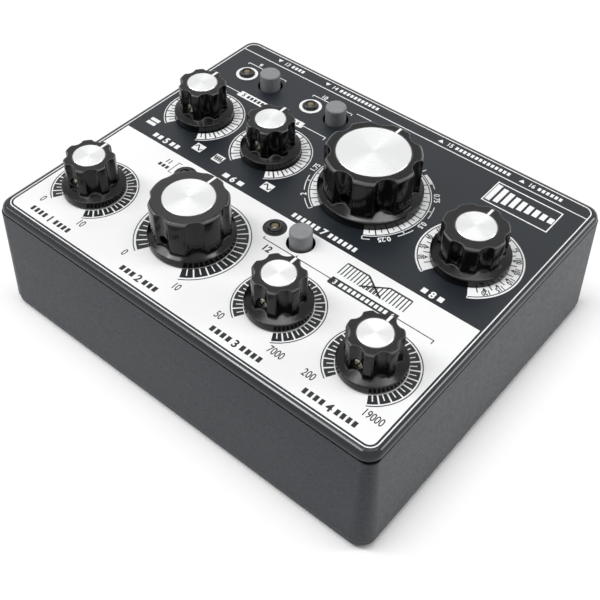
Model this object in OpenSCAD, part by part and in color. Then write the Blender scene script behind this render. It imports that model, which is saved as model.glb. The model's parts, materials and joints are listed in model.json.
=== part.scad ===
// Desktop echo effects unit: a low cast case with eight fluted knobs, three push buttons,
// four indicator lamps and a row of sockets on its rear wall.
// Origin: middle of the footprint, on the surface that the feet stand on. +X right, +Y rear, +Z up.

/* [Case] */
// Width of the lid and of the body's top edge
case_w = 143.4; // [141.4:0.5:152]
// Depth of the lid and of the body's top edge
case_d = 118; // [116.4:0.2:126]
// Height of the body from base plate to lid
body_h = 36.1; // [35.3:0.2:44]
// Corner radius of the lid
lid_corner_r = 4.6; // [4:0.2:7]
// Corner radius of the body at its top edge
body_corner_r = 3.4; // [3:0.2:6]
// Corner radius of the body's inside
inner_corner_r = 3; // [2.6:0.2:4]
// Outward lean of each side wall, measured at its foot
draft = 2; // [0.4:0.2:3]
// Thickness of the side walls at the top edge
wall = 2.7; // [2.4:0.1:3.4]
// Height of the shadow groove below the lid
groove_h = 0.7; // [0.3:0.1:1]
// Depth of the shadow groove
groove_depth = 0.8; // [0.4:0.1:1.2]
// Thickness of the lid
lid_t = 2.5; // [2.2:0.1:3.2]
// Height of the lid's upright edge, below its rounding
lid_lip = 0.3; // [0.2:0.1:1]
// Height of the rim under the lid that centres it in the body
rim_h = 2.4; // [1.6:0.2:3]
// Width of that rim
rim_w = 1.6; // [1.2:0.2:2]
// Clearance between that rim and the body
rim_gap = 0.2; // [0.1:0.05:0.3]
// Thickness of the base plate
base_t = 2.2; // [2:0.1:3]
// Step of the base plate's edge behind the body
base_inset = 0.3; // [0:0.1:0.6]

/* [Case fasteners and feet] */
// Diameter of the lid's four screw pillars
pillar_d = 7; // [6.5:0.5:8]
// Distance of each pillar's axis from the lid's edges
pillar_inset = 8.7; // [8.5:0.1:10]
// Thread diameter of the case screws
case_screw_d = 3; // [2.5:0.5:3.5]
// Head diameter of the countersunk case screws
case_screw_head_d = 5.6; // [5.2:0.2:6.2]
// Length of the case screws
case_screw_l = 10; // [8:1:14]
// Diameter of the rubber feet
foot_d = 10; // [8:1:12]
// Height of the rubber feet
foot_h = 1.5; // [1:0.1:3]
// Distance of each foot's centre from the lid's edges
foot_inset = 20; // [18:1:26]

/* [Panel layout] */
// Distance of the feedback control from the lid's left edge
feedback_inset = 18.3; // [17:0.1:22]
// Distance of the depth control from the lid's left edge
depth_inset = 18.5; // [17:0.1:22]
// Distance of the low-pass control from the lid's right edge
low_pass_inset = 18.3; // [17:0.1:22]
// Distance of the tempo control from the lid's right edge
tempo_inset = 20.2; // [19:0.1:24]
// Distance of the volume control from the middle, to the left
volume_left = 15.7; // [12:0.1:18]
// Distance of the rate control from the middle, to the left
rate_left = 23.9; // [22:0.1:26]
// Distance of the high-pass control from the middle, to the right
high_pass_right = 21.3; // [20:0.1:24]
// Distance of the beat control from the middle, to the right
beat_right = 12.5; // [10:0.1:14]
// Distance of the small front controls from the lid's front edge
front_row_inset = 24.1; // [22:0.1:26]
// Distance of the volume control from the lid's front edge
volume_inset = 28.2; // [26:0.1:30]
// Distance of the small rear controls from the lid's rear edge
rear_row_inset = 45.1; // [43:0.1:47]
// Distance of the beat control from the lid's rear edge
beat_inset = 40.4; // [39:0.1:43]
// Distance of the tempo control from the lid's rear edge
tempo_rear_inset = 44; // [42:0.1:46]
// Distance of the two rear buttons and their lamps from the lid's rear edge
rear_button_inset = 18.3; // [17.5:0.1:20]
// Distance of the mute button, its lamp and the clip lamp from the middle, to the front
front_button_front = 12.1; // [11:0.1:13]
// Distance of the loop button from the lid's left edge
loop_button_inset = 24.4; // [23:0.1:26]
// Distance of the step button from the middle, to the left
step_button_left = 18.5; // [17:0.1:20]
// Distance of the mute button from the middle, to the right
mute_button_right = 10.2; // [9:0.1:11]
// Distance of each rear lamp from its button, to the left
rear_lamp_offset = 10.8; // [10:0.1:12]
// Distance of the mute lamp from its button, to the left
mute_lamp_offset = 10; // [9:0.1:11]
// Distance of the clip lamp from the middle, to the left
clip_lamp_left = 36.9; // [36:0.1:38]

/* [Knob sizes] */
// Skirt diameter of the five small knobs
small_skirt_d = 19.6; // [18.6:0.2:21]
// Diameter across the lobes of the small knobs
small_lobe_d = 15.6; // [15.2:0.2:17]
// Depth of the flutes of the small knobs
small_flute = 1.4; // [0.8:0.1:1.5]
// Opening angle of a small knob's flutes, seen from its axis
small_flute_span = 33; // [26:1:34]
// Height of the small knobs above the panel
small_knob_h = 13.2; // [12.6:0.2:15]
// Inlay diameter of the small knobs
small_inlay_d = 9.9; // [9:0.1:10.4]
// Length of the small knobs' pointer
small_pointer = 2.4; // [1.6:0.1:2.6]
// Skirt diameter of the tempo knob
tempo_skirt_d = 23.7; // [22.5:0.1:25]
// Diameter across the lobes of the tempo knob
tempo_lobe_d = 19.6; // [19:0.2:21]
// Depth of the flutes of the tempo knob
tempo_flute = 1.2; // [0.8:0.1:1.6]
// Opening angle of the tempo knob's flutes
tempo_flute_span = 27; // [24:1:34]
// Height of the tempo knob above the panel
tempo_knob_h = 12.9; // [12.5:0.1:15]
// Inlay diameter of the tempo knob
tempo_inlay_d = 12; // [11:0.1:13]
// Length of the tempo knob's pointer
tempo_pointer = 2.8; // [1.8:0.1:3.2]
// Skirt diameter of the volume knob
volume_skirt_d = 26.4; // [25.5:0.1:28]
// Diameter across the lobes of the volume knob
volume_lobe_d = 23.6; // [22.5:0.2:25]
// Depth of the flutes of the volume knob
volume_flute = 1; // [0.6:0.1:1.6]
// Opening angle of the volume knob's flutes
volume_flute_span = 26; // [22:1:32]
// Height of the volume knob above the panel
volume_knob_h = 15.8; // [14:0.2:18]
// Inlay diameter of the volume knob
volume_inlay_d = 15.7; // [14:0.1:17]
// Length of the volume knob's pointer
volume_pointer = 3.4; // [1.8:0.1:3.4]
// Skirt diameter of the beat knob
beat_skirt_d = 33; // [32:0.2:34]
// Diameter across the lobes of the beat knob
beat_lobe_d = 30; // [28:0.2:31]
// Depth of the flutes of the beat knob
beat_flute = 2.2; // [1.2:0.1:2.6]
// Opening angle of the beat knob's flutes
beat_flute_span = 26; // [22:1:34]
// Height of the beat knob above the panel
beat_knob_h = 16.6; // [15:0.2:19]
// Inlay diameter of the beat knob
beat_inlay_d = 22.8; // [20:0.2:24]
// Length of the beat knob's pointer
beat_pointer = 2.7; // [1.8:0.1:3]

/* [Knob details] */
// Number of flutes round each knob
flute_count = 7; // [6:1:9]
// Gap between skirt and panel
knob_gap = 0.5; // [0.4:0.1:0.8]
// Height of the skirt's upright edge
skirt_h = 2.2; // [1.8:0.1:3]
// Rise of the skirt's sloping top
skirt_rise = 0.7; // [0.4:0.1:1]
// Rounding of the knob's top edge, as a share of the diameter across its lobes
knob_edge_share = 0.045; // [0.03:0.005:0.05]
// Thickness of the metal inlay
inlay_t = 0.6; // [0.4:0.1:0.9]
// Height of the inlay above the knob's top
inlay_proud = 0.1; // [0:0.05:0.2]
// Clearance round the inlay
inlay_gap = 0.05; // [0.02:0.01:0.1]
// Width of the pointer groove
pointer_w = 0.8; // [0.5:0.1:1.2]
// Depth of the pointer groove
pointer_depth = 0.25; // [0.1:0.05:0.4]
// Outside diameter of the brass bush in each knob
insert_d = 9; // [8.4:0.2:9.6]
// Clearance round the brass bush
insert_gap = 0.02; // [0.01:0.01:0.04]
// Solid material between the bush and the inlay
insert_cover = 1.4; // [1:0.1:2]
// Thickness of the bush above its blind bore
insert_roof = 1.4; // [0.8:0.1:2]
// Diameter of the grub screw
grub_d = 3; // [2.4:0.2:3.2]
// Height of the grub screw above the bush's lower end
grub_rise = 3; // [2.4:0.2:4]
// How far the grub screw stands out of the bush
grub_proud = 1.6; // [0.6:0.1:1.7]
// Width of the slot across the grub screw's end
grub_slot_w = 0.6; // [0.4:0.1:0.8]
// Depth of the slot
grub_slot_depth = 0.8; // [0.4:0.1:1]
// Turn of the slot from upright
grub_slot_turn = 30; // [0:5:90]
// Clearance round the grub screw in the knob
grub_gap = 0.2; // [0.1:0.05:0.3]

/* [Rotary controls] */
// Diameter of the control shafts
shaft_d = 6; // [5.4:0.1:6.2]
// Radial clearance of shaft in bush
shaft_run = 0.05; // [0.03:0.01:0.08]
// Radial clearance of shaft in knob
shaft_fit = 0.02; // [0.01:0.01:0.04]
// Diameter of the control's threaded bush
bush_d = 7.5; // [7.3:0.1:7.8]
// Height of the bush above the panel
bush_h = 2.9; // [2.8:0.1:3.1]
// Clearance round the bush in the lid
bush_gap = 0.1; // [0.05:0.05:0.2]
// Diameter of the control's housing
pot_d = 16; // [15:0.5:17]
// Height of the control's housing, which sets the board below the lid
pot_h = 12; // [11:0.2:12.4]
// Thickness of the housing's walls
pot_wall = 1.4; // [1:0.1:1.8]
// Thickness of the wiper disc on the shaft
wiper_t = 2; // [1.4:0.1:2.6]
// Clearance round the wiper disc
wiper_gap = 0.6; // [0.4:0.1:0.8]
// Thickness of the washers
washer_t = 0.4; // [0.3:0.1:0.5]
// Diameter of the washers
washer_d = 11; // [10.4:0.2:11.4]
// Width of the bush nuts across flats
nut_af = 9.6; // [9.4:0.1:9.8]
// Thickness of the bush nuts
nut_t = 2; // [1.8:0.1:2.2]
// Clearance of nuts and washers on the bush
nut_gap = 0.05; // [0.02:0.01:0.1]
// Clearance between nut and knob
nut_clear = 0.5; // [0.4:0.1:0.7]

/* [Buttons] */
// Diameter of the button caps
button_d = 7; // [6.6:0.1:7.4]
// Diameter of the holes that the caps stand in
button_hole_d = 8.6; // [8:0.1:9]
// Height of the caps above the panel
button_h = 5.3; // [4.6:0.1:6.5]
// Travel of the buttons
button_travel = 2; // [1.4:0.1:2.2]
// Clearance left below a pressed cap
button_clear = 2; // [1.6:0.1:2.4]
// Rounding of the caps' top edge
button_edge_r = 0.6; // [0.2:0.1:0.8]
// Side of the square switch housings
switch_w = 8.4; // [8:0.2:9]
// Height of the switch housings
switch_h = 6; // [5.6:0.1:6.2]
// Thickness of the switch housings' walls
switch_wall = 0.9; // [0.7:0.1:1.2]
// Side of the square plungers
plunger_w = 3; // [2.6:0.1:3.4]
// Side of the plunger's stop flange
plunger_flange_w = 5; // [4.6:0.1:5.4]
// Thickness of the stop flange
plunger_flange_t = 1; // [0.8:0.1:1.2]
// Clearance round the plunger
plunger_gap = 0.15; // [0.1:0.05:0.2]
// Clearance left below a pressed plunger
plunger_clear = 0.5; // [0.3:0.1:0.6]
// How far the plunger stands in the cap, above the cap's lower end
plunger_grip = 5; // [4:0.2:6]

/* [Lamps] */
// Diameter of the lamp holders' flange
holder_d = 5.6; // [5.4:0.1:6.2]
// Thickness of the flange
holder_flange_t = 0.3; // [0.2:0.1:0.5]
// Diameter of the collar on the flange
collar_d = 4.6; // [4.4:0.1:5]
// Height of the collar above the panel
collar_h = 1; // [0.8:0.1:1.4]
// Bevel of the collar's edge
collar_bevel = 0.2; // [0.1:0.05:0.3]
// Diameter of the holders' barrel in the lid
holder_barrel_d = 4.8; // [4.6:0.1:5]
// Length of the barrel below the lid
holder_drop = 2; // [1.6:0.1:2.6]
// Clearance round the barrel
holder_gap = 0.05; // [0.02:0.01:0.1]
// Diameter of the lamps
lamp_d = 3; // [2.8:0.1:3.2]
// Clearance round the lamps
lamp_gap = 0.05; // [0.02:0.01:0.1]
// Height of the lamps above the panel
lamp_h = 1.2; // [0.8:0.1:1.6]
// Rise of the lamps' domed end
lamp_dome = 0.5; // [0.3:0.1:0.8]
// Diameter of the lamps' foot
lamp_foot_d = 3.8; // [3.6:0.1:4.2]
// Thickness of the lamps' foot
lamp_foot_t = 1; // [0.8:0.1:1.2]
// Diameter of the lamps' legs
lamp_leg_d = 0.5; // [0.4:0.1:0.6]
// Distance between a lamp's legs
lamp_leg_pitch = 2.54; // [2.2:0.02:2.8]

/* [Sockets] */
// Clearance between the outer sockets and the lid's pillars
jack_pillar_gap = 1.4; // [0.8:0.1:4]
// Distance of the inner sockets from the middle
inner_socket_x = 25; // [23:0.1:27]
// Clearance between the sockets and the board above them
jack_board_gap = 2.6; // [2.2:0.1:4]
// Bore of the signal sockets, for a 6.35 mm plug
jack_bore_d = 6.5; // [6.4:0.02:6.7]
// Depth of the sockets' bore
jack_bore_l = 29; // [27:0.5:31]
// Thread diameter of the sockets' bush
jack_bush_d = 9; // [8.6:0.1:9.2]
// Clearance round the socket bushes in the wall
jack_gap = 0.1; // [0.05:0.05:0.2]
// Width of the signal sockets' housing
jack_w = 15; // [14:0.2:15.6]
// Height of the signal sockets' housing
jack_h = 14; // [13:0.2:14.6]
// Thickness of the housing's rear wall
jack_back = 1.6; // [1.2:0.1:2.4]
// Width of the socket nuts across flats
jack_nut_af = 12; // [11.4:0.1:12.6]
// Thickness of the socket nuts
jack_nut_t = 2.2; // [1.8:0.1:2.6]
// Length of thread beyond the socket nuts
thread_proud = 0.8; // [0.3:0.1:1]
// Margin of the flat spot faces round the nuts
spot_margin = 0.6; // [0.3:0.1:1]
// Least depth of the spot faces
spot_depth = 0.2; // [0.1:0.05:0.3]
// Thread diameter of the power inlet
inlet_d = 11; // [10.6:0.1:11.2]
// Bore of the power inlet
inlet_bore_d = 5.7; // [5.6:0.02:6]
// Depth of the power inlet's bore
inlet_bore_l = 10; // [9:0.2:12]
// Diameter of the power inlet's centre pin
inlet_pin_d = 2.1; // [1.9:0.1:2.5]
// How far the centre pin stays behind the inlet's mouth
inlet_pin_back = 1; // [0.6:0.1:1.6]
// Length of the power inlet behind the wall
inlet_l = 15; // [13:0.5:18]
// Diameter of the power inlet's shoulder behind the wall
inlet_shoulder_d = 13; // [12.4:0.1:13.6]
// Thickness of that shoulder
inlet_shoulder_t = 1.6; // [1.2:0.1:2]
// Width of the inlet nut across flats
inlet_nut_af = 14; // [13.6:0.1:14.4]
// Width of the solder lugs
lug_w = 2; // [1.6:0.1:2.4]
// Length of the solder lugs
lug_l = 4; // [3.5:0.1:4.5]
// Thickness of the solder lugs
lug_t = 0.6; // [0.4:0.1:0.8]
// Distance of the lugs from the socket's axis
lug_offset = 3.6; // [3.2:0.1:4]

/* [Board] */
// Clearance between the board and the side walls
board_side_gap = 5; // [3:0.2:6]
// Clearance between the board and the lid's pillars
board_pillar_gap = 1.3; // [0.6:0.1:4]
// Thickness of the circuit board
board_t = 1.6; // [1.2:0.1:2]
// Diameter of the lid's bosses that carry the board
boss_d = 6.4; // [6:0.2:7]
// Distance of the side bosses from the board's edge
side_boss_inset = 4; // [3.6:0.1:6]
// Thread diameter of the board screws
board_screw_d = 2.5; // [2:0.1:3]
// Length of the board screws' thread
board_screw_l = 8; // [6:0.5:9]
// Head diameter of the board screws
board_screw_head_d = 4.6; // [4.2:0.1:5]
// Head height of the board screws
board_screw_head_h = 1.8; // [1.4:0.1:2.2]
// Clearance of screws in the holes they pass
screw_gap = 0.2; // [0.1:0.05:0.3]
// Clearance of screws in the holes they thread into
thread_gap = 0.03; // [0.01:0.01:0.05]
// Side of the main chip
chip_w = 14; // [10:1:18]
// Thickness of the chips
chip_t = 1.8; // [1.4:0.1:2.4]
// Width of the row of small chips' bodies
small_chip_w = 4; // [3:0.2:5]
// Length of the small chips
small_chip_l = 5; // [4:0.2:7]
// Number of small chips
small_chip_count = 5; // [3:1:7]
// Distance between the small chips
small_chip_pitch = 11; // [8:0.5:12]
// Line of the row of small chips
small_chip_y = -18; // [-26:1:-14]
// Diameter of the wires
wire_d = 1.6; // [1.2:0.1:1.8]
// Bend radius of the wires
wire_bend_r = 3; // [2.5:0.1:3.5]

/* [Hidden] */
$fn = 64;
// Small overlap that lets cutters pass right through
eps = 0.5;
// Angle between the points of a small rounded edge, and of a wider one
edge_step = 30;
wide_edge_step = 15;
// Steps in the profile of a lamp's domed end
lamp_dome_steps = 4;

// Levels
base_z = foot_h;
body_z = base_z + base_t;
lid_z = body_z + body_h;
panel_z = lid_z + lid_t;
board_top = lid_z - pot_h;
board_bottom = board_top - board_t;
socket_z = board_bottom - jack_board_gap - jack_h / 2;

// Case
foot_w = case_w + 2 * draft;
foot_depth = case_d + 2 * draft;
inner_w = case_w - 2 * wall;
inner_d = case_d - 2 * wall;
lid_edge_r = lid_t - lid_lip;
lean_h = body_h - groove_h;
pillar_x = case_w / 2 - pillar_inset;
pillar_y = case_d / 2 - pillar_inset;
pillars = [for (x = [-1, 1], y = [-1, 1]) [x * pillar_x, y * pillar_y]];
feet_at = [for (x = [-1, 1], y = [-1, 1])
    [x * (case_w / 2 - foot_inset), y * (case_d / 2 - foot_inset)]];

// Places on the panel
feedback_at = [-case_w / 2 + feedback_inset, -case_d / 2 + front_row_inset];
volume_at = [-volume_left, -case_d / 2 + volume_inset];
high_pass_at = [high_pass_right, -case_d / 2 + front_row_inset];
low_pass_at = [case_w / 2 - low_pass_inset, -case_d / 2 + front_row_inset];
depth_at = [-case_w / 2 + depth_inset, case_d / 2 - rear_row_inset];
rate_at = [-rate_left, case_d / 2 - rear_row_inset];
beat_at = [beat_right, case_d / 2 - beat_inset];
tempo_at = [case_w / 2 - tempo_inset, case_d / 2 - tempo_rear_inset];
loop_at = [-case_w / 2 + loop_button_inset, case_d / 2 - rear_button_inset];
step_at = [-step_button_left, case_d / 2 - rear_button_inset];
mute_at = [mute_button_right, -front_button_front];
lamps_at = [
    loop_at - [rear_lamp_offset, 0],
    step_at - [rear_lamp_offset, 0],
    mute_at - [mute_lamp_offset, 0],
    [-clip_lamp_left, -front_button_front],
];

// Board, with its side bosses between the rows of controls and its rear bosses behind the rear row
board_w = inner_w - 2 * board_side_gap;
board_d = 2 * (pillar_y - pillar_d / 2 - board_pillar_gap);
side_boss = [board_w / 2 - side_boss_inset, (feedback_at[1] + depth_at[1]) / 2];
rear_boss = [-(depth_at[0] + rate_at[0]) / 2, (depth_at[1] + loop_at[1]) / 2];
bosses = [for (side = [-1, 1], p = [side_boss, rear_boss]) [side * p[0], p[1]]];

// Knobs: the four sizes, each as skirt diameter, lobe diameter, flute depth, height, inlay diameter,
// flute angle and pointer length
small_size = [small_skirt_d, small_lobe_d, small_flute, small_knob_h, small_inlay_d, small_flute_span,
    small_pointer];
tempo_size = [tempo_skirt_d, tempo_lobe_d, tempo_flute, tempo_knob_h, tempo_inlay_d, tempo_flute_span,
    tempo_pointer];
volume_size = [volume_skirt_d, volume_lobe_d, volume_flute, volume_knob_h, volume_inlay_d,
    volume_flute_span, volume_pointer];
beat_size = [beat_skirt_d, beat_lobe_d, beat_flute, beat_knob_h, beat_inlay_d, beat_flute_span,
    beat_pointer];
recess_top = bush_h + nut_clear;
recess_d = nut_af / cos(30) + 2 * nut_clear;
grub_z = recess_top + grub_rise;

// Controls: each name with its place on the panel and its knob's size
CONTROLS = [
    ["feedback", feedback_at, small_size],
    ["volume", volume_at, volume_size],
    ["high_pass", high_pass_at, small_size],
    ["low_pass", low_pass_at, small_size],
    ["depth", depth_at, small_size],
    ["rate", rate_at, small_size],
    ["beat", beat_at, beat_size],
    ["tempo", tempo_at, tempo_size],
];
BUTTONS = [["loop", loop_at], ["step", step_at], ["mute", mute_at]];

// Sockets
wall_y = case_d / 2 - wall;
spot_r = max(jack_nut_af, inlet_nut_af) / cos(30) / 2 + spot_margin;
spot_y = case_d / 2 + draft * (1 - (socket_z + spot_r - body_z) / lean_h) - spot_depth;
thread_end = spot_y + jack_nut_t + thread_proud;
jack_l = jack_bore_l - (thread_end - wall_y) + jack_back;
outer_socket_x = pillar_x - pillar_d / 2 - jack_pillar_gap - jack_w / 2;
JACKS = [
    ["input_jack", -outer_socket_x],
    ["mix_jack", inner_socket_x],
    ["output_jack", outer_socket_x],
];
inlet_x = -inner_socket_x;

// Buttons
switch_top = board_top + switch_h;
switch_roof = switch_top - switch_wall;
button_foot = switch_top + button_travel + button_clear;
plunger_top = button_foot + plunger_grip;

KNOB_PIECES = ["knob", "inlay", "insert", "shaft"];
BUTTON_PIECES = ["button", "plunger"];

// Shared shapes

// Quarter of a turned shape, for the corners of the blocks below
module corner(r, side) {
    rotate_extrude(angle = 90)
        polygon(concat([[0, side[0][1]]], [for (p = side) [r + p[0], p[1]]], [[0, last(side)[1]]]));
}

function last(points) = points[len(points) - 1];

// Block with rounded corners. Its side goes from foot to top in points, each as how far the side
// stands out there, and the height
module shaped_block(w, d, r, side) {
    corner_x = w / 2 - r;
    corner_y = d / 2 - r;
    right = [for (p = side) [w / 2 + p[0], p[1]]];
    left = [for (i = [len(side) - 1 : -1 : 0]) [-w / 2 - side[i][0], side[i][1]]];
    rear = [for (p = side) [d / 2 + p[0], p[1]]];
    translate([0, corner_y, 0])
        rotate([90, 0, 0])
            linear_extrude(2 * corner_y)
                polygon(concat(right, left));
    for (turn = [0, 180])
        rotate(turn) {
            translate([-corner_x, 0, 0])
                rotate([90, 0, 90])
                    linear_extrude(2 * corner_x)
                        polygon(concat([[corner_y, side[0][1]]], rear, [[corner_y, last(side)[1]]]));
            translate([corner_x, corner_y, 0])
                corner(r, side);
            translate([-corner_x, corner_y, 0])
                rotate(90)
                    corner(r, side);
        }
}

// Block with rounded corners; its foot is wider than its top by grow on every side
module block(w, d, r, h, grow = 0) {
    shaped_block(w, d, r, [[grow, 0], [0, h]]);
}

// Upright cylinder from one level to another
module post(d, from, to) {
    translate([0, 0, from])
        cylinder(d = d, h = to - from);
}

// Upright square bar from one level to another
module bar(w, from, to) {
    translate([-w / 2, -w / 2, from])
        cube([w, w, to - from]);
}

// Hexagonal nut with its lower face at zero
module hex_nut(af, bore_d, t) {
    difference() {
        cylinder(d = af / cos(30), h = t, $fn = 6);
        post(bore_d, -eps, t + eps);
    }
}

// Turns an upright shape to point out of the rear wall, with its zero level at the given depth
module rearward(x, y) {
    translate([x, y, socket_z])
        rotate([-90, 0, 0])
            children();
}

// Points of a quarter-round edge on a profile, from the side to the top
function round_edge(r, top, edge, step = edge_step) =
    [for (a = [0 : step : 90]) [r - edge + edge * cos(a), top - edge + edge * sin(a)]];

// Case

module lid() {
    color("#3a3d42")
        difference() {
            union() {
                translate([0, 0, lid_z])
                    shaped_block(case_w, case_d, lid_corner_r,
                        concat([[0, 0]], round_edge(0, lid_t, lid_edge_r, wide_edge_step)));
                lid_rim();
                for (p = pillars)
                    translate(p)
                        post(pillar_d, body_z, lid_z);
                for (p = bosses)
                    translate(p)
                        post(boss_d, board_top, lid_z);
            }
            lid_holes();
        }
}

// Rim under the lid that fits inside the body's walls
module lid_rim() {
    outer_w = inner_w - 2 * rim_gap;
    outer_d = inner_d - 2 * rim_gap;
    outer_r = inner_corner_r - rim_gap;
    translate([0, 0, lid_z - rim_h])
        difference() {
            block(outer_w, outer_d, outer_r, rim_h);
            translate([0, 0, -eps])
                block(outer_w - 2 * rim_w, outer_d - 2 * rim_w, outer_r - rim_w, rim_h + eps);
        }
}

module lid_holes() {
    for (control = CONTROLS)
        translate(control[1])
            post(bush_d + 2 * bush_gap, lid_z - eps, panel_z + eps);
    for (item = BUTTONS)
        translate(item[1])
            post(button_hole_d, lid_z - eps, panel_z + eps);
    for (p = lamps_at)
        translate(p)
            post(holder_barrel_d + 2 * holder_gap, lid_z - eps, panel_z + eps);
    for (p = pillars)
        translate(p)
            post(case_screw_d + 2 * thread_gap, body_z - eps, base_z + case_screw_l + eps);
    for (p = bosses)
        translate(p)
            post(board_screw_d + 2 * thread_gap, board_top - eps, board_bottom + board_screw_l + eps);
}

module body() {
    rim_inset = 2 * groove_depth;
    color("#4a4d52")
        difference() {
            union() {
                translate([0, 0, body_z])
                    block(case_w, case_d, body_corner_r, lean_h, draft);
                translate([0, 0, lid_z - groove_h])
                    block(case_w - rim_inset, case_d - rim_inset, body_corner_r - groove_depth, groove_h);
            }
            translate([0, 0, body_z - eps])
                block(inner_w, inner_d, inner_corner_r, body_h + 2 * eps);
            for (jack = JACKS)
                rearward(jack[1], wall_y)
                    post(jack_bush_d + 2 * jack_gap, -eps, 2 * wall + draft);
            rearward(inlet_x, wall_y)
                post(inlet_d + 2 * jack_gap, -eps, 2 * wall + draft);
            for (x = concat([for (jack = JACKS) jack[1]], inlet_x))
                rearward(x, spot_y)
                    post(2 * spot_r, 0, wall + draft);
        }
}

module base() {
    color("#45484d")
        difference() {
            translate([0, 0, base_z])
                block(foot_w - 2 * base_inset, foot_depth - 2 * base_inset,
                    body_corner_r + draft - base_inset, base_t);
            for (p = pillars)
                translate(p) {
                    post(case_screw_d + 2 * screw_gap, base_z - eps, body_z + eps);
                    countersink(thread_gap);
                }
        }
}

// Cone of a countersunk screw head, flush with the base plate's lower face
module countersink(gap = 0) {
    head_h = (case_screw_head_d - case_screw_d) / 2;
    translate([0, 0, base_z])
        cylinder(d1 = case_screw_head_d + 2 * gap, d2 = case_screw_d + 2 * gap, h = head_h);
}

module feet() {
    color("#1c1c1e")
        for (p = feet_at)
            translate(p)
                cylinder(d1 = foot_d - foot_h / 2, d2 = foot_d, h = foot_h);
}

module case_screws() {
    color("#2a2a2c")
        for (p = pillars)
            translate(p)
                difference() {
                    union() {
                        countersink();
                        post(case_screw_d, base_z, base_z + case_screw_l);
                    }
                    post(case_screw_d / 2, base_z - eps, base_z + base_t / 2, $fn = 6);
                }
}

// Board

module circuit_board() {
    color("#1e4a2e")
        difference() {
            translate([-board_w / 2, -board_d / 2, board_bottom])
                cube([board_w, board_d, board_t]);
            for (p = bosses)
                translate(p)
                    post(board_screw_d + 2 * screw_gap, board_bottom - eps, board_top + eps);
        }
}

module board_screws() {
    color("#8d8f92")
        for (p = bosses)
            translate(p)
                difference() {
                    union() {
                        post(board_screw_d, board_bottom, board_bottom + board_screw_l);
                        post(board_screw_head_d, board_bottom - board_screw_head_h, board_bottom);
                    }
                    post(board_screw_head_d / 2, board_bottom - board_screw_head_h - eps,
                        board_bottom - board_screw_head_h / 2, $fn = 6);
                }
}

module chips() {
    color("#222224") {
        bar(chip_w, board_bottom - chip_t, board_bottom);
        for (i = [0 : small_chip_count - 1])
            translate([(i - (small_chip_count - 1) / 2) * small_chip_pitch, small_chip_y, 0])
                translate([-small_chip_w / 2, -small_chip_l / 2, board_bottom - chip_t])
                    cube([small_chip_w, small_chip_l, chip_t]);
    }
}

// Rotary controls

module pot_bodies() {
    cavity_d = pot_d - 2 * pot_wall;
    color("#9a9ca0")
        for (control = CONTROLS)
            translate(control[1])
                difference() {
                    union() {
                        post(pot_d, board_top, lid_z);
                        post(bush_d, lid_z, panel_z + bush_h);
                    }
                    post(cavity_d, board_top + pot_wall, lid_z - pot_wall);
                    post(shaft_d + 2 * shaft_run, board_top + pot_wall, panel_z + bush_h + eps);
                }
}

module pot_washers() {
    color("#c9cbce")
        for (control = CONTROLS)
            translate(control[1])
                difference() {
                    post(washer_d, panel_z, panel_z + washer_t);
                    post(bush_d + 2 * nut_gap, panel_z - eps, panel_z + washer_t + eps);
                }
}

module pot_nuts() {
    color("#c9cbce")
        for (control = CONTROLS)
            translate([each control[1], panel_z + washer_t])
                hex_nut(nut_af, bush_d + 2 * nut_gap, nut_t);
}

// Levels inside a knob, above the panel: floor of the inlay's recess, top of the bush, top of its bore
function inlay_seat(size) = size[3] + inlay_proud - inlay_t;
function insert_top(size) = inlay_seat(size) - insert_cover;
function shaft_top(size) = insert_top(size) - insert_roof;

module shaft(size) {
    wiper_d = pot_d - 2 * pot_wall - 2 * wiper_gap;
    wiper_z = lid_z - pot_wall - wiper_gap - wiper_t;
    color("#b4b6b9") {
        post(shaft_d, wiper_z, panel_z + shaft_top(size));
        post(wiper_d, wiper_z, wiper_z + wiper_t);
    }
}

// Knobs, drawn with the panel at height zero and the pointer towards the rear

module knob(size) {
    top = size[3];
    color("#141415")
        difference() {
            union() {
                skirt(size);
                grip(size);
            }
            post(recess_d, knob_gap - eps, recess_top);
            post(insert_d + 2 * insert_gap, recess_top - eps, insert_top(size));
            post(size[4] + 2 * inlay_gap, inlay_seat(size), top + eps);
            translate([-pointer_w / 2, 0, top - pointer_depth])
                cube([pointer_w, size[4] / 2 + size[6], pointer_depth + eps]);
            grub_bar(grub_d + 2 * grub_gap, 0, size[1] / 2 + eps);
        }
}

// Foot of the knob: its sloping top runs on into the flutes and ends inside the grip
module skirt(size) {
    skirt_r = size[0] / 2;
    lobe_r = size[1] / 2;
    core_r = lobe_r - size[2] - skirt_rise;
    slope = skirt_rise / (skirt_r - lobe_r);
    edge_z = knob_gap + skirt_h;
    core_z = edge_z + slope * (skirt_r - core_r);
    rotate_extrude()
        polygon([[0, knob_gap], [skirt_r, knob_gap], [skirt_r, edge_z], [core_r, core_z], [0, core_z]]);
}

// Lobed grip with a rounded top edge, standing in the skirt
module grip(size) {
    lobe_r = size[1] / 2;
    foot = knob_gap + skirt_h / 2;
    difference() {
        rotate_extrude()
            polygon(concat(
                [[0, foot], [lobe_r, foot]],
                round_edge(lobe_r, size[3], knob_edge_share * size[1], wide_edge_step),
                [[0, size[3]]]));
        flutes(size, foot - eps);
    }
}

// Grooves down the knob's side; one lies opposite the pointer, where the grub screw goes in
module flutes(size, foot) {
    lobe_r = size[1] / 2;
    floor_r = lobe_r - size[2];
    half_chord = lobe_r * sin(size[5] / 2);
    sagitta = lobe_r * cos(size[5] / 2) - floor_r;
    flute_r = (half_chord ^ 2 + sagitta ^ 2) / (2 * sagitta);
    for (i = [0 : flute_count - 1])
        rotate(i * 360 / flute_count - 90)
            translate([floor_r + flute_r, 0, 0])
                post(2 * flute_r, foot, size[3] + eps);
}

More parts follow.
